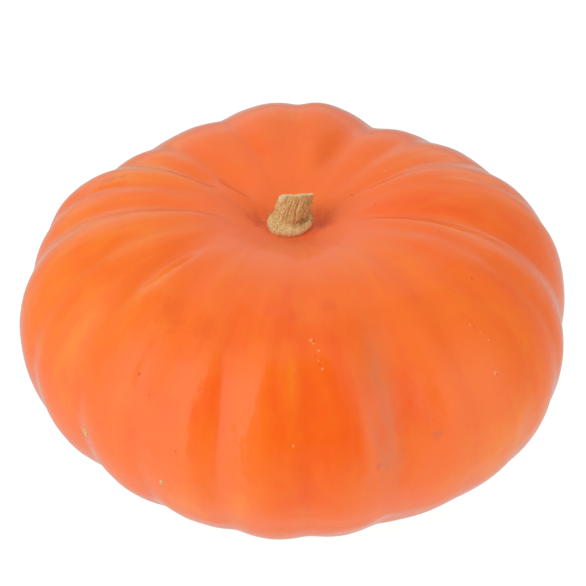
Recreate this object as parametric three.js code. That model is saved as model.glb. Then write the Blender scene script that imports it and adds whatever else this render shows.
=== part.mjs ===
// A flat, round pumpkin with twenty soft ribs and the short corky stub of its stem.
// Millimetres, +Z up. The origin is on the floor, under the middle of the fruit.
// Bearings are in degrees round the fruit, from its front (-Y) towards its right side (+X).
import * as THREE from 'three';

// Driving dimensions of the fruit: radius and height of the places that its outline runs through,
// from the stem's seat over the crest and the widest place to the ring it rests on
const SEAT = [12.5, 130.5];
const CREST = [75, 146.5];
const WIDEST = [150.5, 78];
const RING_OUTER = [78, 1];
const RING_INNER = [56, 1];
const BLOSSOM_END = [0, 10];
const OVALNESS = 0.02;
const BACK_LIFT = 1;

// Each furrow and the rib that follows it: bearing of the furrow at the flank, how far the furrow
// lies under the plain outline, how far the rib swells over the line between its two furrows, how
// many degrees the furrow swings on its way up to the stem, and the radius where it has half faded
const RIBS = [
  { bearing: 2, furrow: 1.4, swell: 2.5, swing: -4, fade: 105 },
  { bearing: 20, furrow: 4.5, swell: 0.2, swing: 0, fade: 105 },
  { bearing: 36, furrow: 1.2, swell: 0.5, swing: 1, fade: 110 },
  { bearing: 51, furrow: -1.8, swell: 1.2, swing: 0, fade: 62 },
  { bearing: 64, furrow: -1.7, swell: 1.3, swing: 1, fade: 72 },
  { bearing: 78, furrow: 2.4, swell: 1.9, swing: 0, fade: 44 },
  { bearing: 100, furrow: -2.9, swell: 1.6, swing: -2, fade: 52 },
  { bearing: 116, furrow: 0.6, swell: 1.7, swing: -2, fade: 44 },
  { bearing: 136, furrow: 2.3, swell: 1.8, swing: -4, fade: 34 },
  { bearing: 154, furrow: 4.5, swell: 4.8, swing: 0, fade: 46 },
  { bearing: 177, furrow: -2.9, swell: 3.8, swing: 2, fade: 84 },
  { bearing: 201, furrow: 3.1, swell: 1.4, swing: 0, fade: 50 },
  { bearing: 221, furrow: 6.6, swell: 1.6, swing: 4, fade: 34 },
  { bearing: 235, furrow: 6.8, swell: 4.2, swing: 0, fade: 46 },
  { bearing: 254.5, furrow: 2.6, swell: 1.3, swing: -1, fade: 52 },
  { bearing: 267, furrow: 3.2, swell: 4.3, swing: 2, fade: 44 },
  { bearing: 292, furrow: -1.6, swell: 1.9, swing: 0, fade: 42 },
  { bearing: 309, furrow: 3.2, swell: 3, swing: -2, fade: 62 },
  { bearing: 326, furrow: 3.4, swell: 2, swing: -3, fade: 78 },
  { bearing: 344.5, furrow: 2.9, swell: 2.6, swing: -9, fade: 84 },
];
const FURROW_ROUNDING = 6;
const RIB_FULLNESS = 2.2;
const UNDER_SWELL = 1.7;
const UNDER_HEIGHT = 30;
const SWING = { from: 40, reach: 90 };
const FADE = { from: 0.7, reach: 0.6 };
const HOLLOW_REACH = 60;
const BUTTON_RADIUS = 12;

// The outline's curved stretches, with the pull (across, up) that shapes each at its two ends
const STRETCHES = [
  { steps: 8, from: SEAT, fromPull: [15, 3], to: CREST, toPull: [-35, 0] },
  { steps: 11, from: CREST, fromPull: [33, 0], to: WIDEST, toPull: [0, 45] },
  { steps: 11, from: WIDEST, fromPull: [0, -45], to: RING_OUTER, toPull: [44, 0] },
  { steps: 2, from: RING_OUTER, fromPull: [-7, 0], to: RING_INNER, toPull: [7, 0] },
  { steps: 4, from: RING_INNER, fromPull: [-18, 0], to: BLOSSOM_END, toPull: [24, 0] },
];

// Where the skin is sampled across a rib, as shares of its breadth
const RIB_SHARES = [0, 0.1, 0.3, 0.5, 0.7, 0.9];

// The stem stub: a corky column with a flared foot, leaning a little and cut at a slant
const STEM = {
  across: -1,
  gap: 0.3,
  footRadius: 12.2,
  waistRadius: 9.4,
  topRadius: 9.2,
  frontHeight: 24,
  cutSlope: 0.5,
  lean: { x: 4.6, y: 1 },
  ridges: 11,
  ridgeHeight: 0.7,
  sides: 44,
  rings: 9,
};

const COLOURS = { rind: 0xf27940, cork: 0xcda56b };

// A smooth step from 0 to 1
function ease(x) {
  return THREE.MathUtils.smoothstep(x, 0, 1);
}

// The plain outline, as places (radius, height) with the outward direction of the skin at each
function outline() {
  const places = [];
  for (const { steps, from, fromPull, to, toPull } of STRETCHES) {
    const [start, end] = [new THREE.Vector2(...from), new THREE.Vector2(...to)];
    const leave = new THREE.Vector2(...fromPull).add(start);
    const arrive = new THREE.Vector2(...toPull).add(end);
    const curve = new THREE.CubicBezierCurve(start, leave, arrive, end);
    for (let i = 0; i < steps; i++) {
      const along = curve.getTangent(i / steps);
      places.push({ at: curve.getPoint(i / steps), out: new THREE.Vector2(-along.y, along.x) });
    }
  }
  return places;
}

// How strongly a furrow shows at a place of the outline: it fades towards the stem and towards the
// blossom end
function strengthAt(rib, place) {
  if (place.out.y > 0) return ease((place.at.x / rib.fade - FADE.from) / FADE.reach);
  const inward = (place.at.x - BUTTON_RADIUS) / (RING_INNER[0] - BUTTON_RADIUS);
  return Math.sin(THREE.MathUtils.clamp(inward, 0, 1) * Math.PI / 2);
}

// The bearing of a furrow at a place of the outline, swung where the furrow nears the stem
function furrowBearing(index, place) {
  const rib = RIBS[index % RIBS.length];
  const turn = 360 * Math.floor(index / RIBS.length);
  const nearStem = place.out.y > 0 ? 1 - ease((place.at.x - SWING.from) / SWING.reach) : 0;
  return rib.bearing + turn + rib.swing * nearStem;
}

// How far the skin stands off the plain outline, a share of the way across rib number index
function relief(index, share, breadth, place) {
  const rib = RIBS[index];
  const next = RIBS[(index + 1) % RIBS.length];
  const under = place.out.y > 0 ? 0 : 1 - ease(place.at.y / UNDER_HEIGHT);
  const fromFurrow = THREE.MathUtils.degToRad(breadth) * Math.min(share, 1 - share) * place.at.x;
  const rounding = fromFurrow / Math.hypot(fromFurrow, FURROW_ROUNDING);
  const arch = (1 - Math.abs(2 * share - 1) ** RIB_FULLNESS) * rounding;
  const furrow = THREE.MathUtils.lerp(rib.furrow, next.furrow, ease(share)) * (1 - under);
  const swell = THREE.MathUtils.lerp(rib.swell, UNDER_SWELL, under);
  const strength = THREE.MathUtils.lerp(strengthAt(rib, place), strengthAt(next, place), ease(share));
  return strength * (swell * arch - furrow);
}

// A point of the skin, pressed flat where it meets the floor
function skin(index, share, place) {
  const from = furrowBearing(index, place);
  const breadth = furrowBearing(index + 1, place) - from;
  const bearing = THREE.MathUtils.degToRad(from + breadth * share);
  const stand = relief(index, share, breadth, place);
  const oval = 1 + OVALNESS * Math.sin(2 * bearing);
  const radius = (place.at.x + stand * place.out.x) * oval;
  const high = Math.max(0, place.at.y - WIDEST[1]) / (CREST[1] - WIDEST[1]);
  const lift = -BACK_LIFT * Math.cos(bearing) * high * ease((place.at.x - SEAT[0]) / HOLLOW_REACH);
  const z = Math.max(0, place.at.y + stand * place.out.y + lift);
  return [radius * Math.sin(bearing), -radius * Math.cos(bearing), z];
}

// A closed skin over rings of points, with a pole above the first ring and one below the last
function closedSurface(top, rings, bottom) {
  const sides = rings[0].length;
  const positions = [top, ...rings.flat(), bottom].flat();
  const last = rings.length * sides + 1;
  const at = (ring, side) => 1 + ring * sides + side % sides;
  const index = [];
  for (let side = 0; side < sides; side++) {
    index.push(0, at(0, side), at(0, side + 1));
    for (let ring = 0; ring + 1 < rings.length; ring++) {
      const [a, b] = [at(ring, side), at(ring, side + 1)];
      const [c, d] = [at(ring + 1, side), at(ring + 1, side + 1)];
      index.push(a, c, d, a, d, b);
    }
    index.push(last, at(rings.length - 1, side + 1), at(rings.length - 1, side));
  }
  const geometry = new THREE.BufferGeometry();
  geometry.setAttribute('position', new THREE.Float32BufferAttribute(positions, 3));
  geometry.setIndex(index);
  geometry.computeVertexNormals();
  return geometry;
}

function fruitGeometry() {
  const rings = outline().map((place) => RIBS.flatMap(
    (_, index) => RIB_SHARES.map((share) => skin(index, share, place)),
  ));
  return closedSurface([0, 0, SEAT[1]], rings, [0, 0, BLOSSOM_END[1]]);
}

// The stem's radius a share of the way up: a flared foot that draws in to the waist
function stemRadius(share) {
  const flare = (STEM.footRadius - STEM.waistRadius) * (1 - ease(share / 0.35));
  const top = (STEM.topRadius - STEM.waistRadius) * ease((share - 0.35) / 0.65);
  return STEM.waistRadius + flare + top;
}

function stemGeometry() {
  const base = SEAT[1] + STEM.gap;
  const cutMiddle = STEM.frontHeight - STEM.topRadius * STEM.cutSlope;
  const rings = [];
  for (let ring = STEM.rings; ring >= 0; ring--) {
    const share = ring / STEM.rings;
    const points = [];
    for (let side = 0; side < STEM.sides; side++) {
      const angle = 2 * Math.PI * side / STEM.sides;
      const ridge = STEM.ridgeHeight * Math.cos(STEM.ridges * angle) * Math.sin(Math.PI * Math.sqrt(share));
      const radius = stemRadius(share) + ridge;
      const y = -radius * Math.cos(angle);
      const height = share * (cutMiddle - STEM.cutSlope * y);
      const x = STEM.across + STEM.lean.x * share + radius * Math.sin(angle);
      points.push([x, y + STEM.lean.y * share, base + height]);
    }
    rings.push(points);
  }
  const top = [STEM.across + STEM.lean.x, STEM.lean.y, base + cutMiddle];
  return closedSurface(top, rings, [STEM.across, 0, base]);
}

function piece(name, geometry, colour, roughness) {
  const material = new THREE.MeshStandardMaterial({ color: colour, roughness, metalness: 0 });
  const mesh = new THREE.Mesh(geometry, material);
  mesh.name = name;
  return mesh;
}

const fruit = piece('fruit', fruitGeometry(), COLOURS.rind, 0.3);
const stem = piece('stem', stemGeometry(), COLOURS.cork, 0.9);

// The whole is set so that the middle of the fruit's breadth and depth is over the origin
fruit.geometry.computeBoundingBox();
const middle = fruit.geometry.boundingBox.getCenter(new THREE.Vector3());
const pumpkin = new THREE.Group();
pumpkin.position.set(-middle.x, -middle.y, 0);
pumpkin.add(fruit, stem);

export default pumpkin;
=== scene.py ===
"""A flat, softly ribbed pumpkin with a corky stem stub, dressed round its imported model."""
import math

import bpy
import numpy as np
from mathutils import Matrix, Vector, noise


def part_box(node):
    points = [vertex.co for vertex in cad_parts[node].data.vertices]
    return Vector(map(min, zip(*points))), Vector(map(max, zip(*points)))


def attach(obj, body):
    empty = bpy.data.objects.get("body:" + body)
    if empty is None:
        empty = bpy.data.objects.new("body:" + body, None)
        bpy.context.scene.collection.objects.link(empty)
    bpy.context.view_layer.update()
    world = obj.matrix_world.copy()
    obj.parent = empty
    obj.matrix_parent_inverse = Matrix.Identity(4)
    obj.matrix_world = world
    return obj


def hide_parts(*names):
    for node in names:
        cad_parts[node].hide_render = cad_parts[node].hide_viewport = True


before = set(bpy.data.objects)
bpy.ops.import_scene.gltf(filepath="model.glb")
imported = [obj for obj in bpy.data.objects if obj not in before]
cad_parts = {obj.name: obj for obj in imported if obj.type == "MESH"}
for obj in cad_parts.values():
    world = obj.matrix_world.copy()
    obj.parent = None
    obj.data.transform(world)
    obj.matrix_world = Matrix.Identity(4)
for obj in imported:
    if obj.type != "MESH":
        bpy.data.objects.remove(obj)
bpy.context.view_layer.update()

MM = 0.001

# The depth of the finishes' low relief, in metres
RELIEF_DEPTH = 0.0005
RELIEF_STRENGTH = 0.9

# The fruit's outline: radius and height of its main places, and the pull (across, up) at the two
# ends of each curved stretch between them, with how many rings of the skin lie on it
SEAT = (12.5, 130.5)
CREST = (75, 146.5)
WIDEST = (150.5, 78)
RING_OUTER = (78, 1)
RING_INNER = (56, 1)
BLOSSOM_END = (0, 10)
STRETCHES = [
    (3, (0, SEAT[1]), (4, 0), SEAT, (-4, 0)),
    (46, SEAT, (15, 3), CREST, (-35, 0)),
    (66, CREST, (33, 0), WIDEST, (0, 45)),
    (60, WIDEST, (0, -45), RING_OUTER, (44, 0)),
    (6, RING_OUTER, (-7, 0), RING_INNER, (7, 0)),
    (24, RING_INNER, (-18, 0), BLOSSOM_END, (24, 0)),
]
OVALNESS = 0.02
BACK_LIFT = 1

# Each furrow and the rib after it: bearing of the furrow, its depth under the plain outline, the
# rib's swell, the degrees that the furrow swings on its way up to the stem, and the radius where
# it has half faded
RIBS = np.array([
    (2, 1.4, 2.5, -4, 105),
    (20, 4.5, 0.2, 0, 105),
    (36, 1.2, 0.5, 1, 110),
    (51, -1.8, 1.2, 0, 62),
    (64, -1.7, 1.3, 1, 72),
    (78, 2.4, 1.9, 0, 44),
    (100, -2.9, 1.6, -2, 52),
    (116, 0.6, 1.7, -2, 44),
    (136, 2.3, 1.8, -4, 34),
    (154, 4.5, 4.8, 0, 46),
    (177, -2.9, 3.8, 2, 84),
    (201, 3.1, 1.4, 0, 50),
    (221, 6.6, 1.6, 4, 34),
    (235, 6.8, 4.2, 0, 46),
    (254.5, 2.6, 1.3, -1, 52),
    (267, 3.2, 4.3, 2, 44),
    (292, -1.6, 1.9, 0, 42),
    (309, 3.2, 3, -2, 62),
    (326, 3.4, 2, -3, 78),
    (344.5, 2.9, 2.6, -9, 84),
], float)
FURROW_ROUNDING = 8.5
RIB_FULLNESS = 2.2
UNDER_SWELL = 1.7
UNDER_HEIGHT = 30
SWING_FROM = 40
SWING_REACH = 90
FADE_FROM = 0.7
FADE_REACH = 0.6
HOLLOW_REACH = 60
BUTTON_RADIUS = 12
COLUMNS_PER_RIB = 22
# How much closer together the columns of points stand in the furrows
CROWDING = 0.07

# The small unevenness of the skin, all in millimetres: lumps by size and height, streaks along the
# flanks, and puckers round the stem. The last two are also given by how closely they stand round
LUMPS = [(70, 0.7), (26, 0.3), (12, 0.12)]
STREAK_HEIGHT = 0.34
STREAK_LENGTH = 60
STREAKS_ROUND = 9
PUCKER_HEIGHT = 0.1
PUCKER_LENGTH = 30
PUCKERS_ROUND = 4
# The radius, under the stem's foot, where the puckers and pits begin
STEM_EDGE = 11
# Pits of the skin beside the stem: bearing, radius, depth and breadth
PITS = [(102, 16.5, 2.2, 6.5), (-116, 16, 2, 6.5)]
# Thin folds and creases along the ribs: bearing, radius where each starts and ends, height (less
# than nought for a crease) and breadth
FOLDS = [(112, 8, 54, -0.8, 4.5), (-116, 8, 48, -0.8, 4.5), (-107, 58, 112, 0.5, 3.2),
         (-102, 60, 130, 0.4, 3.4), (98, 75, 130, 0.5, 2.8), (-3.5, 100, 147, -0.7, 3.2),
         (-14.5, 100, 148, 0.35, 3), (-31, 96, 130, -0.3, 4), (14, 104, 149, 0.5, 4),
         (28, 108, 140, -0.3, 4), (50, 52, 116, -0.7, 6), (-50, 38, 92, -0.6, 6),
         (-43, 56, 100, 0.4, 5)]
FOLD_TAPER = 14

# Where the rind is deeper in colour, or paler where the last number is less than nought: bearing,
# way along the skin from the stem, breadth in degrees, length in millimetres, and how much. Most are
# the rind's own deeper and paler zones, but the thin lines at bearings -55 and 54 are painted shade
# along furrows, and those at -19, -9.5, -0.8, 23 and 27 low on the front are painted highlights and
# painted shade of reflected bands of light
BLUSH_SHADE_AND_SHEEN = [(0, 148, 26, 46, 1.2), (84, 82, 7, 62, 1.1), (-72, 120, 28, 45, -0.8),
         (50, 200, 16, 40, -0.9), (38, 60, 22, 20, -0.3), (10, 104, 14, 18, 0.6),
         (62, 100, 8, 30, 0.6), (180, 50, 50, 30, 0.5), (-120, 92, 14, 24, -1),
         (150, 110, 20, 40, 0.6), (-160, 140, 24, 50, -0.5), (-35, 103, 8, 8, 0.4),
         (-22, 110, 8, 8, 0.4), (-55, 62, 4, 26, 0.9), (54, 84, 4, 28, 0.7),
         (-0.8, 132, 1.5, 18, -1.8), (23, 142, 4, 30, 0.8), (-19, 150, 4, 40, 0.8),
         (-9.5, 150, 4, 40, -0.8), (27, 150, 6, 30, 1)]

# The grey stain along one furrow: its bearing low down, how far it strays higher up, half its
# breadth, and where it starts and ends along the skin
STAIN = {"bearing": 17.4, "stray": 5.3, "breadth": 8.5, "top": 76, "bottom": 232}

# The dull skin of the hollow, and the painted pink sheen round it that stands for reflected light:
# where each starts to fade along the skin and over what length. The sheen is fullest at one bearing,
# near the front, and never less than a share of that. Then half the breadth of the painted shade, a
# deeper colour, in the furrows
DULL = {"from": 15, "reach": 75}
PAINTED_SHEEN = {"from": 30, "reach": 50, "bearing": -5, "breadth": 75, "least": 0.35}
FURROW_SHADE_BREADTH = 4.5

# The stem stub, in millimetres over the seat
STEM_SHIFT = -1
STEM_GAP = 0.3
FRONT_HEIGHT = 24
CUT_SLOPE = 0.5
TOP_RADIUS = 9.2
STEM_CUT = FRONT_HEIGHT - TOP_RADIUS * CUT_SLOPE
STEM_SIDES = 180
LEAN = (4.6, 1)
# Its upper side as radius and share of the way up to the cut, and its lower side as radius and
# height, once where the foot's lip stands clear of the column and once where it has grown into it
UPPER_SIDE = [(8.7, 1), (9.2, 0.975), (9.4, 0.86), (9.4, 0.7), (9.3, 0.55)]
OPEN_FOOT = [(9.2, 10.2), (8.9, 8.4), (8.2, 6.8), (8.3, 5.0), (9.3, 4.6),
             (10.3, 5.2), (11.4, 4.1), (12.1, 2.2), (12.1, 0.8), (11.6, -0.6)]
GROWN_FOOT = [(9.2, 10.2), (9.3, 8.6), (9.6, 7.2), (10.1, 5.9), (10.6, 5.1),
              (11.2, 4.3), (11.8, 3.2), (12.1, 2.2), (12.1, 0.8), (11.6, -0.6)]
# Grooves between the stem's ridges: bearing, lowest and highest height, depth and half breadth
GROOVES = [(-70, 5, 15, 0.3, 3), (-53, 3, 16, 0.5, 3), (-38, 15, 22, 0.8, 2.5), (-30, 3, 13, 0.5, 3),
           (-18, 4, 18, 0.8, 3.5), (-6, 9, 20, 0.4, 2.5), (6, 3, 19, 0.9, 3.5), (17, 3, 12, 0.5, 3),
           (26, 10, 21, 0.5, 3), (39, 3, 19, 1.2, 4.5), (51, 8, 20, 0.5, 3), (62, 4, 20, 0.8, 4),
           (77, 6, 18, 0.5, 3.5), (92, 3, 17, 0.9, 5), (118, 3, 13, 0.9, 5), (135, 6, 12, 0.5, 4),
           (150, 3, 10, 1.1, 6), (178, 3, 9, 0.8, 6), (208, 3, 10, 1, 6), (238, 4, 12, 0.7, 5),
           (268, 5, 14, 0.5, 4)]


class Wire:
    """A shader value. Python's operators on it add Math nodes."""

    def __init__(self, tree, socket):
        self.tree = tree
        self.socket = socket

    def maths(self, operation, *values):
        return self.tree.node("ShaderNodeMath", {"operation": operation}, dict(enumerate(values)))

    def __add__(self, other):
        return self.maths("ADD", self, other)

    __radd__ = __add__

    def __mul__(self, other):
        return self.maths("MULTIPLY", self, other)

    __rmul__ = __mul__

    def __sub__(self, other):
        return self.maths("SUBTRACT", self, other)

    def __rsub__(self, other):
        return self.maths("SUBTRACT", other, self)

    def between(self, low, high):
        """0 below low and 1 above high, with a soft step between them."""
        return self.tree.node(
            "ShaderNodeMapRange", {"interpolation_type": "SMOOTHSTEP"}, {0: self, 1: low, 2: high})


class Tree:
    """A node tree, with a short way to add the nodes that the finishes use."""

    def __init__(self, nodes, links):
        self.nodes = nodes
        self.links = links

    def node(self, kind, settings=None, sockets=None, out=0):
        made = self.nodes.new(kind)
        for name, value in (settings or {}).items():
            setattr(made, name, value)
        for key, value in (sockets or {}).items():
            if isinstance(value, Wire):
                self.links.new(value.socket, made.inputs[key])
            else:
                made.inputs[key].default_value = value
        return Wire(self, made.outputs[out])

    def colour(self, share, first, second):
        """Two colours mixed by a share."""
        return self.node("ShaderNodeMix", {"data_type": "RGBA"}, {0: share, 6: first, 7: second}, 2)

    def vector(self, operation, first, second, out=0):
        return self.node("ShaderNodeVectorMath", {"operation": operation}, {0: first, 1: second}, out)

    def cloud(self, where, scale, detail, roughness, distortion=0.0):
        """Soft noise, about 0 to 1."""
        sockets = {"Vector": where, "Scale": scale, "Detail": detail}
        sockets |= {"Roughness": roughness, "Distortion": distortion}
        return self.node("ShaderNodeTexNoise", {}, sockets)

    def stretched(self, where, scale):
        """Coordinates stretched each way and turned, so that noise on them shows no straight edge."""
        sockets = {"Vector": where, "Scale": scale, "Rotation": (0.6, 0.8, 0.3)}
        return self.node("ShaderNodeMapping", {}, sockets)

    def frayed(self, where, scale, reach):
        """Coordinates shifted a little, so that an edge drawn with them is ragged."""
        shift = self.node("ShaderNodeTexNoise", {}, {"Vector": where, "Scale": scale}, 1)
        shift = self.vector("SUBTRACT", shift, (0.5, 0.5, 0.5))
        return self.vector("ADD", where, self.vector("MULTIPLY", shift, (reach, reach, reach)))

    def spot(self, where, centre, radius, softness):
        """1 within a radius of a place and 0 past it, in metres."""
        gap = self.vector("DISTANCE", where, centre, 1)
        return 1 - gap.between(radius * (1 - softness), radius * (1 + softness))

    def stored(self, name, out=2):
        """A value kept on the piece's points, or with out at 1 a vector."""
        return self.node("ShaderNodeAttribute", {"attribute_name": name}, {}, out)


class Finish(Tree):
    """A material: a Principled shader with its plain values, to which the rest is wired."""

    def __init__(self, name, **plain):
        self.material = bpy.data.materials.new(name)
        self.material.use_nodes = True
        tree = self.material.node_tree
        super().__init__(tree.nodes, tree.links)
        self.shader = tree.nodes["Principled BSDF"]
        for socket, value in plain.items():
            self.shader.inputs[socket.replace("_", " ")].default_value = value

    def place(self):
        """Where the point is on its piece, in metres."""
        return self.node("ShaderNodeTexCoord", out=3)

    def wire(self, **sockets):
        for socket, value in sockets.items():
            self.links.new(value.socket, self.shader.inputs[socket.replace("_", " ")])

    def bump(self, height):
        """Low relief, from a height of about 0 to 1."""
        sockets = {"Height": height, "Strength": RELIEF_STRENGTH, "Distance": RELIEF_DEPTH}
        self.wire(Normal=self.node("ShaderNodeBump", {}, sockets))


def paint(code):
    """A colour as a picture shows it, such as "f26a20", in the shader's own scale."""
    parts = [int(code[i:i + 2], 16) / 255 for i in (0, 2, 4)]
    return (*(p / 12.92 if p < 0.04045 else ((p + 0.055) / 1.055) ** 2.4 for p in parts), 1.0)


def ease(x):
    """A smooth step from 0 to 1."""
    x = np.clip(x, 0, 1)
    return x * x * (3 - 2 * x)


def hump(x, breadth):
    """1 at nought, falling off over a breadth to either side."""
    return np.exp(-(x / breadth) ** 2)


def apart(turn, bearing):
    """How many degrees an angle in radians lies past a bearing."""
    return (np.degrees(turn) - bearing + 180) % 360 - 180


def spread_noise(points, size, seed):
    """Smooth noise from -1 to 1 at each point of a grid, with lumps of about a size."""
    shift = Vector((seed * 7.3, seed * 3.1, seed * 5.7))
    values = [noise.noise(Vector(p) / size + shift) for p in points.reshape(-1, 3)]
    return np.array(values).reshape(points.shape[:-1])


def outline():
    """Places along the outline: radius, height and the outward direction of the skin."""
    places = []
    for rings, start, leave, end, arrive in STRETCHES:
        a, d = np.array(start, float), np.array(end, float)
        b, c = a + leave, d + arrive
        t = (np.arange(rings) / rings)[:, None]
        point = a * (1 - t) ** 3 + 3 * b * t * (1 - t) ** 2 + 3 * c * t * t * (1 - t) + d * t ** 3
        along = (b - a) * (1 - t) ** 2 + 2 * (c - b) * t * (1 - t) + (d - c) * t * t
        along /= np.linalg.norm(along, axis=1)[:, None]
        places.append(np.column_stack([point, -along[:, 1], along[:, 0]]))
    return np.concatenate(places)[1:]


def ribbed_skin(places):
    """The ribbed skin over the outline: each point's radius, height, angle round the stem's axis
    and distance from the nearest furrow."""
    radius, height, out_r, out_z = (places[:, i, None, None] for i in range(4))
    bearings, depth, swell, swing, fade = (RIBS[None, :, i, None] for i in range(5))
    on_top = out_z > 0
    inward = (radius - BUTTON_RADIUS) / (RING_INNER[0] - BUTTON_RADIUS)
    strength = np.where(on_top, ease((radius / fade - FADE_FROM) / FADE_REACH),
                        np.sin(np.clip(inward, 0, 1) * math.pi / 2))
    under = np.where(on_top, 0, 1 - ease(height / UNDER_HEIGHT))
    near_stem = np.where(on_top, 1 - ease((radius - SWING_FROM) / SWING_REACH), 0)

    def towards_next(values, share):
        return values + (np.roll(values, -1, axis=1) - values) * share

    furrow_at = bearings + swing * near_stem
    next_at = np.roll(furrow_at, -1, axis=1)
    next_at[:, -1] += 360
    step = np.arange(COLUMNS_PER_RIB) / COLUMNS_PER_RIB
    share = (step - CROWDING * np.sin(2 * math.pi * step))[None, None, :]
    turn = np.radians(furrow_at + (next_at - furrow_at) * share)
    from_furrow = np.radians(next_at - furrow_at) * np.minimum(share, 1 - share) * radius
    arch = 1 - np.abs(2 * share - 1) ** RIB_FULLNESS
    arch = arch * from_furrow / np.hypot(from_furrow, FURROW_ROUNDING)
    stand = (swell + (UNDER_SWELL - swell) * under) * arch
    stand = stand - towards_next(depth, ease(share)) * (1 - under)
    stand = stand * towards_next(strength, ease(share))
    oval = 1 + OVALNESS * np.sin(2 * turn)
    r = (radius + stand * out_r) * oval
    high = np.maximum(0, height - WIDEST[1]) / (CREST[1] - WIDEST[1])
    lift = BACK_LIFT * np.cos(turn) * high * ease((radius - SEAT[0]) / HOLLOW_REACH)
    z = height + stand * out_z - lift
    return [grid.reshape(len(places), -1) for grid in (r, z, turn, from_furrow)]


def unevenness(r, z, turn, on_top):
    """How far the skin stands off its ribbed form, in millimetres."""
    round_way = np.stack([np.sin(turn), -np.cos(turn), 0 * turn], -1)
    points = round_way * r[..., None] + np.stack([0 * z, 0 * z, z], -1)
    rough = sum(height * spread_noise(points, size, k) for k, (size, height) in enumerate(LUMPS))
    streaks = round_way * STREAKS_ROUND + np.stack([0 * z, 0 * z, z / STREAK_LENGTH], -1)
    rough = rough + STREAK_HEIGHT * spread_noise(streaks, 1, 4)
    rough = rough * ease((r - 14) / 36)
    puckers = round_way * PUCKERS_ROUND + np.stack([0 * r, 0 * r, r / PUCKER_LENGTH], -1)
    near_stem = ease((r - STEM_EDGE) / 8) * (1 - ease((r - 18) / 34)) * on_top
    rough += PUCKER_HEIGHT * spread_noise(puckers, 1, 5) * near_stem
    for bearing, radius, depth, breadth in PITS:
        gap = np.hypot(r - radius, np.radians(apart(turn, bearing)) * radius)
        rough -= depth * hump(gap, breadth) * on_top * ease((r - STEM_EDGE) / 4)
    for bearing, start, end, height, breadth in FOLDS:
        along = ease((r - start) / FOLD_TAPER) * (1 - ease((r - end) / FOLD_TAPER)) * on_top
        wander = bearing + 0.7 * np.sin(r / 9 + bearing)
        rough += height * along * hump(np.radians(apart(turn, wander)) * r, breadth)
    return rough


def shell(top, rings, bottom):
    """Points and faces of a closed skin over rings of points, with a pole at either end."""
    count, sides = rings.shape[:2]
    points = np.vstack([[top], rings.reshape(-1, 3), [bottom]])
    side = np.arange(sides)
    beside = (side + 1) % sides
    upper = 1 + sides * np.arange(count - 1)[:, None]
    quads = np.stack([upper + side, upper + sides + side, upper + sides + beside, upper + beside], -1)
    last = 1 + sides * (count - 1)
    caps = [(0, 1 + a, 1 + b) for a, b in zip(side, beside)]
    caps += [(len(points) - 1, last + b, last + a) for a, b in zip(side, beside)]
    return points, [[int(i) for i in face] for face in caps + quads.reshape(-1, 4).tolist()]


def make_piece(name, slot, shells, *nodes):
    """A piece made of closed shells (in millimetres), which may stand for a node of the model."""
    points, faces = [], []
    for shell_points, shell_faces in shells:
        faces += [[i + len(points) for i in face] for face in shell_faces]
        points += (shell_points * MM).tolist()
    mesh = bpy.data.meshes.new(name)
    mesh.from_pydata(points, [], faces)
    mesh.polygons.foreach_set("use_smooth", [True] * len(mesh.polygons))
    piece = bpy.data.objects.new(name, mesh)
    bpy.context.collection.objects.link(piece)
    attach(piece, "root")
    if nodes:
        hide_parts(*nodes)
    return piece


def store(piece, name, grid, kind="FLOAT"):
    """Keeps a value for each point of a piece's one shell, and nought for its two poles, for its
    finish to read."""
    held = piece.data.attributes.new(name, kind, "POINT")
    is_vector = kind == "FLOAT_VECTOR"
    pole = np.zeros(3 if is_vector else 1)
    values = np.concatenate([pole, grid.ravel(), pole])
    held.data.foreach_set("vector" if is_vector else "value", values)


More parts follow.
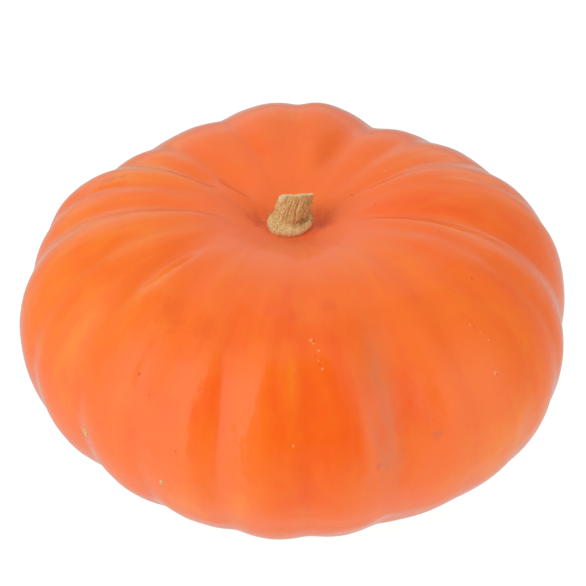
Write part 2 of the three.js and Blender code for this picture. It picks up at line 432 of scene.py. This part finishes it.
def make_fruit():
    """The whole fruit in one skin, from under the stem to the blossom end, and the stem's axis."""
    places = outline()
    r, z, turn, from_furrow = ribbed_skin(places)
    out_r, out_z = places[:, 2:3], places[:, 3:4]
    rough = unevenness(r, z, turn, out_z > 0)
    r = r + rough * out_r
    z = np.maximum(0, z + rough * out_z)
    rings = np.stack([r * np.sin(turn), -r * np.cos(turn), z], -1)
    low, high = (np.array(corner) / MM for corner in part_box("fruit"))
    axis = (low + high - rings.min((0, 1)) - rings.max((0, 1))) / 2 * [1, 1, 0]
    skin = shell(axis + [0, 0, SEAT[1]], rings + axis, axis + [0, 0, BLOSSOM_END[1]])
    fruit = make_piece("fruit_skin", "rind", [skin], "fruit")
    steps = np.linalg.norm(np.diff(places[:, :2], axis=0), axis=1)
    along = np.concatenate([[0], np.cumsum(steps)])[:, None] + 0 * turn
    grain = np.stack([np.sin(turn), -np.cos(turn), along / 400], -1)
    store(fruit, "grain", grain, "FLOAT_VECTOR")
    # Closeness to a furrow, for the painted shade in the furrows
    store(fruit, "furrow", hump(from_furrow, FURROW_SHADE_BREADTH))
    store(fruit, "hollow", 1 - ease((along - DULL["from"]) / DULL["reach"]))
    # Deeper and paler zones: the rind's own, with painted shade along two furrows and painted reflected
    # bands low on the front
    blush_shade_and_sheen = sum(deep * hump(apart(turn, bearing), breadth) * hump(along - way, length)
                for bearing, way, breadth, length, deep in BLUSH_SHADE_AND_SHEEN)
    store(fruit, "blush_shade_and_sheen", blush_shade_and_sheen)
    stray = STAIN["bearing"] + STAIN["stray"] * (1 - ease((along - 90) / 45))
    stain = hump(np.radians(apart(turn, stray)) * r, STAIN["breadth"])
    stain = stain * ease((along - STAIN["top"]) / 70) * ease((STAIN["bottom"] - along) / 60)
    store(fruit, "stain", stain)
    # The painted pink sheen, standing for reflected light, fullest near the front
    painted_sheen = hump(apart(turn, PAINTED_SHEEN["bearing"]), PAINTED_SHEEN["breadth"])
    painted_sheen = PAINTED_SHEEN["least"] + (1 - PAINTED_SHEEN["least"]) * painted_sheen
    store(fruit, "painted_sheen", (1 - ease((along - PAINTED_SHEEN["from"]) / PAINTED_SHEEN["reach"])) * painted_sheen)
    bpy.context.view_layer.update()
    return fruit, Vector(axis)


def on_skin(bearing, radius, height):
    """The place and outward direction of the rind nearest to a place given about the stem's axis,
    in metres."""
    turn = math.radians(bearing)
    guess = axis + Vector((radius * math.sin(turn), -radius * math.cos(turn), height))
    return fruit.closest_point_on_mesh(guess * MM)[1:3]


# Small marks on the rind, and spots of painted shade: bearing, radius, height and size, in degrees
# and millimetres
PALE_SPECKS = [(4.3, 110.5, 136.4, 0.7), (4.9, 112, 135.6, 0.4), (6, 115.7, 133.9, 0.6),
               (5.5, 119.9, 131.1, 0.4), (6.2, 123.4, 128.8, 0.5), (43.7, 127.2, 129.5, 0.4),
               (45.5, 135.9, 122.5, 0.4), (44.8, 132, 126, 0.3), (43.3, 145.6, 109.8, 0.7),
               (-0.7, 145.1, 100.3, 0.5), (118, 60, 145, 0.5), (-141, 120, 131, 0.7),
               (171, 146, 84, 0.8)]
DARK_SPECKS = [(-35.7, 132, 116.1, 0.7), (-24.1, 146.6, 87.7, 0.5), (53.8, 112.4, 139.3, 0.5),
               (5, 111, 136.2, 0.5), (5.2, 117.5, 132.6, 0.4), (5.8, 121.6, 130, 0.4),
               (44.3, 128.5, 128.4, 0.4), (43.6, 146, 109, 0.5), (-32.1, 136.6, 109.5, 0.4),
               (88.2, 45.6, 143.8, 0.5), (113.5, 37, 140.1, 0.5), (-150, 139, 112, 0.7),
               (140, 149, 70, 0.6)]
GREY_SPOTS = [(27.8, 149.2, 92.1, 2.4), (-110, 106, 141, 2.4), (-110.8, 100, 143.6, 2.2),
              (-109.7, 111, 139.4, 2), (164, 147, 92, 3), (15.5, 148.6, 84, 1.6)]
# Painted shade in the pits on either side of the stem
PAINTED_PIT_SHADE = [(98, 15, 131.5, 8), (-106, 14.5, 131.5, 8)]
# Red patches of the rind; the last, just under the stem's collar, is painted shade
RED_SPOTS_AND_COLLAR_SHADE = [(0.6, 96.1, 141.8, 3.2), (10.9, 92.2, 143.3, 3.6), (-36, 101, 138, 5),
             (-33, 108, 135.5, 4), (-24, 108, 136.4, 5), (-32, 136, 110, 2.4), (14, 17, 131.5, 7)]
# The marks and the spots of painted shade in the order they are laid on, with the colour,
# strength and softness of each kind
MARKS = [(PAINTED_PIT_SHADE, "b43c26", 0.42, 0.95), (GREY_SPOTS, "a05a58", 0.28, 0.8),
         (RED_SPOTS_AND_COLLAR_SHADE, "e04c1c", 0.26, 0.9), (DARK_SPECKS, "8a4018", 0.6, 0.7),
         (PALE_SPECKS, "f0be84", 0.5, 0.75)]
RIND_IOR = 1.4


def rind_finish():
    """Waxy orange rind: deeper and paler zones, some of them painted shade and painted highlights,
    streaks along the ribs, painted shade in the furrows, a painted pink sheen round the hollow, a
    stain, small marks and spots of painted shade. It is glossy but for the matt skin of the hollow."""
    rind = Finish("rind", IOR=RIND_IOR, Specular_IOR_Level=0.5)
    place = rind.place()
    grain = rind.stored("grain", 1)
    furrow = rind.stored("furrow")
    blush_shade_and_sheen = rind.stored("blush_shade_and_sheen")
    painted_sheen = rind.stored("painted_sheen")
    hollow = rind.stored("hollow")
    mottle = rind.cloud(place, 48, 4, 0.55, 0.3)
    patches = rind.cloud(place, 15, 3, 0.55)
    streaks = rind.cloud(rind.stretched(grain, (11, 11, 9)), 1, 2.5, 0.5, 0.6)
    washes = rind.cloud(rind.stretched(grain, (8, 8, 8)), 1, 3, 0.5, 0.6)
    threads = rind.cloud(rind.stretched(grain, (70, 70, 18)), 1, 3, 0.6)
    brushed = (streaks - 0.5) * 1.8 + washes.between(0.4, 0.6) * 0.4 - 0.2
    # The zones carry painted shade and painted highlights as well as the rind's own colour
    deep = blush_shade_and_sheen + (patches - 0.5) * 2.6 + (mottle - 0.5) * 1.4 + brushed * (1 - hollow)
    base = rind.colour(deep.between(-1.6, 0.3), paint("f6831f"), paint("f56d1e"))
    base = rind.colour(deep.between(0.3, 1.7), base, paint("f25f1b"))
    base = rind.colour(threads.between(0.55, 0.75) * 0.04, base, paint("ff9a48"))
    base = rind.colour((1 - threads).between(0.55, 0.75) * 0.06, base, paint("d9501a"))
    # Painted shade: a deeper, darker tint along the furrows
    base = rind.colour(furrow * 0.12, base, paint("e25a20"))
    # Painted reflection: the pale pink sheen round the hollow
    base = rind.colour(painted_sheen * 0.42, base, paint("f88460"))
    ragged = rind.frayed(place, 900, 0.0016)
    smears = rind.cloud(rind.stretched(grain, (24, 24, 12)), 1, 3, 0.6).between(0.25, 0.7)
    base = rind.colour(rind.stored("stain") * smears * 0.75, base, paint("d27448"))
    for places, code, strength, softness in MARKS:
        for bearing, radius, height, size in places:
            around = ragged if size < 1 else rind.frayed(place, 260, size * 0.003)
            spot = rind.spot(around, on_skin(bearing, radius, height)[0], size * MM, softness)
            base = rind.colour(spot * strength, base, paint(code))
    scuffs = rind.cloud(rind.stretched(grain, (18, 18, 10)), 1, 4, 0.65)
    dull = scuffs.between(0.4, 0.8) * 0.06 + 0.07
    rind.wire(Base_Color=base, Roughness=dull)
    dents = rind.cloud(place, 100, 3, 0.5) + rind.cloud(place, 420, 3, 0.6) * 0.06
    rind.bump(dents)
    glossy = Wire(rind, rind.shader.outputs[0])
    matt_values = {"Base Color": base, "Roughness": 0.5, "IOR": RIND_IOR}
    matt = rind.node("ShaderNodeBsdfPrincipled", {}, matt_values)
    skin = rind.node("ShaderNodeMixShader", {}, {0: hollow, 1: glossy, 2: matt})
    rind.links.new(skin.socket, rind.nodes["Material Output"].inputs["Surface"])
    return rind


def cork_finish():
    """Dry, fibrous cork of the stem: pale ridges, grooves brown partly in their own colour and partly with
    painted shade, painted shade in the recess under the foot's lip, and fine grain along it.
    """
    cork = Finish("cork", Roughness=0.85, Specular_IOR_Level=0.25)
    place = cork.place()
    long_grain = cork.cloud(cork.vector("MULTIPLY", place, (1, 1, 0.25)), 1000, 4, 0.7)
    blotches = cork.cloud(place, 170, 3, 0.6)
    grit = cork.cloud(place, 1200, 3, 0.7)
    base = cork.colour(blotches.between(0.35, 0.68), paint("d4b06c"), paint("e2c486"))
    base = cork.colour(long_grain.between(0.5, 0.75) * 0.5, base, paint("f0deb0"))
    base = cork.colour((1 - long_grain).between(0.5, 0.75) * 0.45, base, paint("aa8450"))
    base = cork.colour(grit.between(0.5, 0.65) * 0.5, base, paint("f4e4bc"))
    base = cork.colour((1 - grit).between(0.5, 0.62) * 0.6, base, paint("8c6438"))
    base = cork.colour(cork.stored("pale") * 0.7, base, paint("f4deb6"))
    # Painted shade in the grooves, darker where they cut deeper, and in the recess under the lip
    base = cork.colour(cork.stored("groove") * 0.55, base, paint("b4743e"))
    cork.wire(Base_Color=base)
    cork.bump(long_grain + grit * 0.6)
    return cork


def smooth_through(keys, steps):
    """A smooth run of rows through rows of key points."""
    before = np.concatenate([keys[:1], keys[:-1]])
    after = np.concatenate([keys[2:], keys[-1:]])
    rows = []
    for p, a, b, n in zip(before, keys, keys[1:], after):
        for t in np.arange(steps) / steps:
            bend = (2 * p - 5 * a + 4 * b - n) + t * (3 * (a - b) + n - p)
            rows.append(a + t * ((b - p) + t * bend) / 2)
    return np.array(rows + [keys[-1]])


def stem_side(turn, clear):
    """The smooth side of the stem from the cut down to the foot, as radius and height."""
    brim = STEM_CUT + CUT_SLOPE * TOP_RADIUS * np.cos(turn)
    brim -= 2.6 * hump(apart(turn, -76), 34)
    brim -= 1.2 * hump(apart(turn, 180), 70)
    upper = [np.stack([r + 0 * brim, share * brim], -1) for r, share in UPPER_SIDE]
    lower = [np.array(a) * clear + np.array(b) * (1 - clear) for a, b in zip(OPEN_FOOT, GROWN_FOOT)]
    return np.moveaxis(smooth_through(np.array(upper + lower), 6), -1, 0)


def cut_grooves(turn, r, z, clear):
    """The stem's radius with its grooves cut in, and how much painted shade each point gets from them and
    from the recess under the foot's lip.
    """
    dark = 0 * r
    for bearing, low, high, depth, breadth in GROOVES:
        wander = bearing + 3 * np.sin(z / 3 + bearing)
        within = ease((z - low) / 2.5) * (1 - ease((z - high) / 4))
        spread = breadth * (1.5 - 0.6 * ease((z - low) / 8))
        groove = hump(apart(turn, wander), spread) * within
        r = r - depth * groove
        dark = np.maximum(dark, groove * min(1, depth / 1.4))
    # Painted shade in the recess under the lip where it stands clear of the column
    recess = clear[:, 0] * ease((8.6 - z) / 1.5) * ease((10.4 - r) / 1.2)
    return r, np.maximum(dark, recess)


def stem_face(rim):
    """The slanting cut over the rim's points, sunk a little to the pith, and each ring's share of
    the way out to the rim."""
    middle = np.array([LEAN[0], LEAN[1], STEM_CUT])
    outward = np.linspace(0.05, 0.96, 16)[:, None, None]
    face = middle + (rim - middle) * outward
    pith = 1 - outward[:, :, 0]
    face[:, :, 2] -= 0.8 * ease(pith / 0.6) + 0.25 * np.sin(9 * pith) * pith
    face[:, :, 2] += 0.2 * spread_noise(face, 1.1, 9)
    return face, outward[:, :, 0] + 0 * face[:, :, 0]


def make_stem():
    """The stem stub: a grooved column cut at a slant, its foot a lip that stands clear of the
    column at the front right and has grown into it on the left."""
    turn = np.radians(np.arange(STEM_SIDES) * 360 / STEM_SIDES)
    clear = hump(apart(turn, 58), 52) + 0.1 * hump(apart(turn, -95), 22)
    clear = np.clip(clear + 0.6 * hump(apart(turn, 170), 40), 0, 1)[:, None]
    r, z = stem_side(turn, clear)
    level = np.linspace(0, 1, len(r))[:, None] + 0 * r
    spots = np.stack([np.sin(turn) + 0 * r, -np.cos(turn) + 0 * r, z / 16], -1)
    fibres = spread_noise(spots * [11, 11, 2.4], 1, 6)
    threads = spread_noise(spots * [26, 26, 5], 1, 7)
    lumps = spread_noise(spots * [3, 3, 4], 1, 8)
    r, dark = cut_grooves(turn, r, z, clear)
    r = r + 0.4 * hump(apart(turn, -90), 50) * hump(z - 8, 5)
    r = r + 0.36 * fibres + 0.3 * threads + 0.35 * lumps
    z = z + 0.2 * fibres * (level < 0.15) + 0.4 * lumps * ease((z - 1) / 3)
    share = z / STEM_CUT
    across, back = r * np.sin(turn) + LEAN[0] * share, -r * np.cos(turn) + LEAN[1] * share
    wall = np.stack([across, back, z], -1)
    face, outward = stem_face(wall[0])
    foot = np.array(axis) + [STEM_SHIFT, 0, SEAT[1] + STEM_GAP]
    pith = foot + [LEAN[0], LEAN[1], STEM_CUT - 0.8]
    stub = shell(pith, np.concatenate([face, wall]) + foot, foot - [0, 0, 0.6])
    stem = make_piece("stem_stub", "cork", [stub], "stem")
    rim = hump(level, 0.035)
    lip = hump(level - 0.84, 0.09) * (0.2 + 0.3 * clear[:, 0])
    store(stem, "pale", np.concatenate([0.25 + 0.6 * outward ** 3, np.maximum(rim, lip)]))
    # The painted shade of the grooves and recess, and a little darker towards the middle of the cut
    store(stem, "groove", np.concatenate([0.15 * (1 - outward), dark]))
    return stem


def strand(points, thickness):
    """A thin tapered fibre along points."""
    points = np.array(points, float)
    ahead = np.gradient(points, axis=0)
    ahead /= np.linalg.norm(ahead, axis=1)[:, None]
    across = np.cross(ahead, [0.3, 0.2, 1])
    across /= np.linalg.norm(across, axis=1)[:, None]
    other = np.cross(across, ahead)
    angle = np.arange(6) * math.pi / 3
    taper = thickness * (1 - 0.75 * np.linspace(0, 1, len(points)) ** 2)
    rings = points[:, None] + taper[:, None, None] * (
        across[:, None] * np.cos(angle)[:, None] + other[:, None] * np.sin(angle)[:, None])
    return shell(points[0] - ahead[0] * thickness, rings, points[-1] + ahead[-1] * thickness)


def make_stem_fibres():
    """Frayed fibres of the stem's foot, side and rim, each rooted in the cork."""
    rng = np.random.default_rng(12)
    foot = np.array(axis) + [STEM_SHIFT, 0, SEAT[1] + STEM_GAP]

    def at(bearing, radius, height):
        turn = math.radians(bearing)
        lean = height / FRONT_HEIGHT
        x = radius * math.sin(turn) + LEAN[0] * lean
        return foot + [x, -radius * math.cos(turn) + LEAN[1] * lean, height]

    strands = []
    for bearing in list(rng.uniform(70, 112, 9)) + list(rng.uniform(130, 262, 7)):
        low, rise = rng.uniform(2, 4.4), rng.uniform(0.4, 2.4)
        bend, out = rng.uniform(-8, 8), rng.uniform(0.6, 1.9)
        strands.append(([at(bearing, 10.4, low), at(bearing + bend / 2, 11.6 + out / 2, low + rise * 0.7),
                         at(bearing + bend, 11.8 + out, low + rise)], rng.uniform(0.16, 0.3)))
    strands.append(([at(-28, 11.6, 1.6), at(-29, 12.6, 0.9), at(-31, 13.6, 0.7)], 0.25))
    strands.append(([at(84, 8.6, 15.5), at(84, 9.2, 17.2), at(86, 9.9, 18.6)], 0.45))
    strands.append(([at(66, 9.2, 8), at(69, 9.9, 9.5), at(72, 10.2, 12), at(76, 9.4, 14)], 0.3))
    return make_piece("stem_fibres", "cork", [strand(points, thickness) for points, thickness in strands])


def scab(place, outward, length, breadth, rise, seed):
    """A low rough crust on the skin, its edge sunk just under it."""
    normal = np.array(outward)
    along = np.cross([normal[1], -normal[0], 0], normal)
    along /= np.linalg.norm(along)
    across = np.cross(normal, along)
    turn = np.arange(28) * 2 * math.pi / 28
    rings = []
    for share in (0.15, 0.32, 0.5, 0.66, 0.8, 0.92, 1.0):
        edge = np.stack([np.cos(turn) * 2, np.sin(turn) * 2, 0 * turn + seed], -1)
        ragged = share * (1 + 0.35 * spread_noise(edge, 1.1, seed))
        rough = 0.6 + 0.5 * spread_noise(edge * share * 2 + 3, 1, seed + 1)
        high = rise * np.sqrt(1 - share ** 2) * rough - (0.5 if share == 1 else 0)
        ring = np.outer(np.cos(turn) * ragged * length / 2, along)
        ring += np.outer(np.sin(turn) * ragged * breadth / 2, across) + np.outer(high, normal)
        rings.append(ring)
    centre = np.array(place) / MM
    return shell(centre + normal * rise * 0.6, np.array(rings) + centre, centre - normal * 0.6)


def make_scabs():
    """The small corky wart and scar low on the front left."""
    wart = scab(*on_skin(-49.4, 144.5, 67.6), 6.5, 5.2, 1.1, 2)
    scar = scab(*on_skin(-28.3, 145.3, 61.8), 4.2, 2.4, 0.5, 5)
    return make_piece("rind_scabs", "cork", [wart, scar])


def make_blossom_scar():
    """The round corky scar in the hollow of the underside, where the flower sat."""
    return make_piece("blossom_scar", "cork", [scab(*on_skin(0, 0, 9), 17, 16, 1.2, 9)])


# Half the table's breadth, in metres
HALF_TABLE = 8


def lay_floor():
    """A pale lit table under the fruit, wide enough for every view."""
    white = Finish("table", Base_Color=(0.1, 0.1, 0.1, 1), Roughness=0.9,
                   Emission_Color=(1, 1, 1, 1), Emission_Strength=0.96)
    mesh = bpy.data.meshes.new("table")
    corners = [(-HALF_TABLE, -HALF_TABLE, 0), (HALF_TABLE, -HALF_TABLE, 0),
               (HALF_TABLE, HALF_TABLE, 0), (-HALF_TABLE, HALF_TABLE, 0)]
    mesh.from_pydata(corners, [], [(0, 1, 2, 3)])
    mesh.materials.append(white.material)
    table = bpy.data.objects.new("table", mesh)
    bpy.context.collection.objects.link(table)
    table.visible_glossy = False


# The windows beside the camera that the rind mirrors: the bearings over which each starts and ends
# softly, the climb over which it thins out, how much of it is lost there, and how bright it is
LEFT_WINDOW = {"starts": (39.2, 40.8), "ends": (52, 115), "thins": (0.64, 0.92), "loss": 0.6, "glow": 1.45}
RIGHT_WINDOW = {"starts": (28, 48), "ends": (65, 92), "thins": (0.35, 0.85), "loss": 0.75, "glow": 0.98}
# The rest of the room: its walls, the wall at the back, straight overhead, what the table throws
# back from below, and the plain backdrop that the camera sees
WALL_GLOW = 0.5
BACK_GLOW = 0.38
OVERHEAD_GLOW = 0.58
TABLE_GLOW = 0.9
SEEN_GLOW = 1.05


def window(sideways, up, pane):
    """The glow of a window, from the bearing towards its side and the height of the direction."""
    wide = sideways.between(*pane["starts"]) * (1 - sideways.between(*pane["ends"]))
    return wide * (1 - up.between(*pane["thins"]) * pane["loss"]) * pane["glow"]


def light_room():
    """A white room by direction: dark behind the camera, a bright window on either side of it."""
    world = bpy.data.worlds.new("room")
    bpy.context.scene.world = world
    world.use_nodes = True
    room = Tree(world.node_tree.nodes, world.node_tree.links)
    look = room.node("ShaderNodeTexCoord")
    parts = world.node_tree.nodes.new("ShaderNodeSeparateXYZ")
    room.links.new(look.socket, parts.inputs[0])
    right_way, back_way, up = (Wire(room, part) for part in parts.outputs)
    bearing = right_way.maths("ARCTAN2", right_way, 0 - back_way) * math.degrees(1)
    aside = bearing.maths("ABSOLUTE", bearing)
    back = aside.between(132, 150) * up.between(-0.1, 0.2) * BACK_GLOW
    windows = window(0 - bearing, up, LEFT_WINDOW) + window(bearing, up, RIGHT_WINDOW)
    room_glow = (WALL_GLOW + windows + back) * (0.02 + aside.between(17, 38) * 0.98)
    room_glow = room_glow + up.between(0.93, 0.99) * (OVERHEAD_GLOW - room_glow)
    down = up.maths("MAXIMUM", 0 - up, 0)
    from_below = TABLE_GLOW - aside.between(90, 140) * 0.25
    glow = room_glow + down * (from_below - room_glow)
    seen = room.node("ShaderNodeLightPath")
    strength = glow + seen * (SEEN_GLOW - glow)
    shade = world.node_tree.nodes["Background"]
    shade.inputs["Color"].default_value = (1, 1, 1, 1)
    room.links.new(strength.socket, shade.inputs["Strength"])


# The broad soft lights that the rind doesn't mirror: bearing, climb and brightness of each
FILLS = {"front_fill": (5, 40, 1.2), "left_fill": (-70, 40, 0.75), "top_fill": (-30, 75, 0.5),
         "right_fill": (85, 15, 0.25)}
FILL_BREADTH = 1.5
FILL_DISTANCE = 2


def hang_fill_lights():
    """The fill lights, each turned to face the fruit."""
    for name, (bearing, climb, brightness) in FILLS.items():
        light = bpy.data.lights.new(name, "AREA")
        light.size = FILL_BREADTH
        light.energy = brightness * math.pi * FILL_BREADTH ** 2
        turn, climb = math.radians(bearing), math.radians(climb)
        level = math.cos(climb)
        away = Vector((math.sin(turn) * level, -math.cos(turn) * level, math.sin(climb)))
        lamp = bpy.data.objects.new(name, light)
        lamp.location = away * FILL_DISTANCE
        lamp.rotation_euler = away.to_track_quat("Z", "Y").to_euler()
        lamp.visible_camera = False
        lamp.visible_glossy = False
        bpy.context.collection.objects.link(lamp)


# The camera as the photograph's: its climb over the table, distance, focal length in pixels of a
# picture 586 wide, roll, and the point over the stem's foot that it looks at
CAMERA = {"climb": 36.24, "distance": 900, "focal": 1605, "picture": 586, "roll": -1.5,
          "aim": (0.24, 84.8)}


def set_camera():
    """The camera at the photograph's viewing angle."""
    data = bpy.data.cameras.new("camera")
    data.sensor_width = 36
    data.lens = CAMERA["focal"] / CAMERA["picture"] * data.sensor_width
    camera = bpy.data.objects.new("camera", data)
    up = math.radians(CAMERA["climb"])
    away = Vector((0, -math.cos(up), math.sin(up)))
    aim = axis + Vector((CAMERA["aim"][0], 0, CAMERA["aim"][1]))
    roll = Matrix.Rotation(math.radians(CAMERA["roll"]), 3, "Z")
    turn = away.to_track_quat("Z", "Y").to_matrix() @ roll
    place = (aim + away * CAMERA["distance"]) * MM
    camera.matrix_world = Matrix.Translation(place) @ turn.to_4x4()
    bpy.context.collection.objects.link(camera)
    bpy.context.scene.camera = camera
    bpy.context.scene.view_settings.view_transform = "Standard"


fruit, axis = make_fruit()
fruit.data.materials.append(rind_finish().material)
cork = cork_finish().material
for piece in (make_stem(), make_stem_fibres(), make_scabs(), make_blossom_scar()):
    piece.data.materials.append(cork)
lay_floor()
light_room()
hang_fill_lights()
set_camera()
